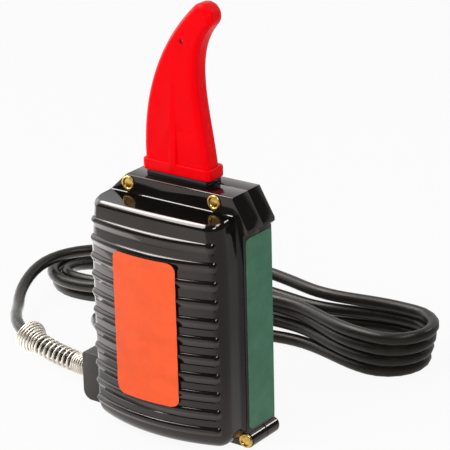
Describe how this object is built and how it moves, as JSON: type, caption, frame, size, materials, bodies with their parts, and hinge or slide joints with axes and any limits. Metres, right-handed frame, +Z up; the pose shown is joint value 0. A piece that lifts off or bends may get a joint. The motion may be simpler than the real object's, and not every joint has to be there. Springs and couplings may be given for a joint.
{
  "type": "handheld demagnetizer",
  "caption": "Handheld demagnetizer: a ribbed two-half case around a coil on a laminated core, a curved probe in a soft boot, and a mains cord with a spring strain relief.",
  "frame": {"origin": "on the flat underside of the case, under the probe, in the plane halfway between the flange faces", "axes": "+Z up from the base to the probe tip, +X to the side with the green label, -Y to the ribbed front with the orange label"},
  "size_m": [0.2405, 0.1733, 0.2066],
  "materials": {
    "case_black": "glossy moulded phenolic",
    "rivet_brass": "worn satin",
    "label_orange": "satin film, bare",
    "label_green": "satin film, bare",
    "boot_red": "satin soft vinyl",
    "neck_black": "satin",
    "core_iron": "varnished sheet",
    "plated_steel": "nickel plated",
    "bobbin_ivory": "matte",
    "winding_copper": "enamelled copper wire",
    "tape_yellow": "matte tape",
    "lead_brown": "satin",
    "lead_black": "satin",
    "lead_white": "satin",
    "lead_green": "satin",
    "splice_ivory": "satin",
    "block_grey": "matte",
    "bushing_rubber": "matte",
    "cord_rubber": "satin",
    "plug_black": "satin",
    "blade_brass": "satin"
  },
  "bodies": {
    "root": {"front_shell": "case_black", "rear_shell": "case_black", "case_rivets": "rivet_brass", "front_label": "label_orange", "side_label": "label_green", "probe_boot": "boot_red", "neck_sleeve": "neck_black", "core_laminations": "core_iron", "core_pins": "plated_steel", "earth_saddle": "plated_steel", "earth_screw": "rivet_brass", "earth_terminal": "plated_steel", "bobbin": "bobbin_ivory", "winding": "winding_copper", "winding_tape": "tape_yellow", "coil_leads": "lead_brown", "cord_entry_block": "block_grey", "entry_bushing": "bushing_rubber", "strain_relief_spring": "plated_steel", "cord_stub": "cord_rubber", "cord_clamp": "splice_ivory", "clamp_screw": "plated_steel", "line_lead": "lead_black", "neutral_lead": "lead_white", "earth_lead": "lead_green", "splice_caps": "splice_ivory", "cord_lead": "cord_rubber", "cord_hank": "cord_rubber", "cord_tail": "cord_rubber", "plug_body": "plug_black", "plug_blades": "blade_brass", "plug_earth_pin": "blade_brass"}
  },
  "joints": []
}
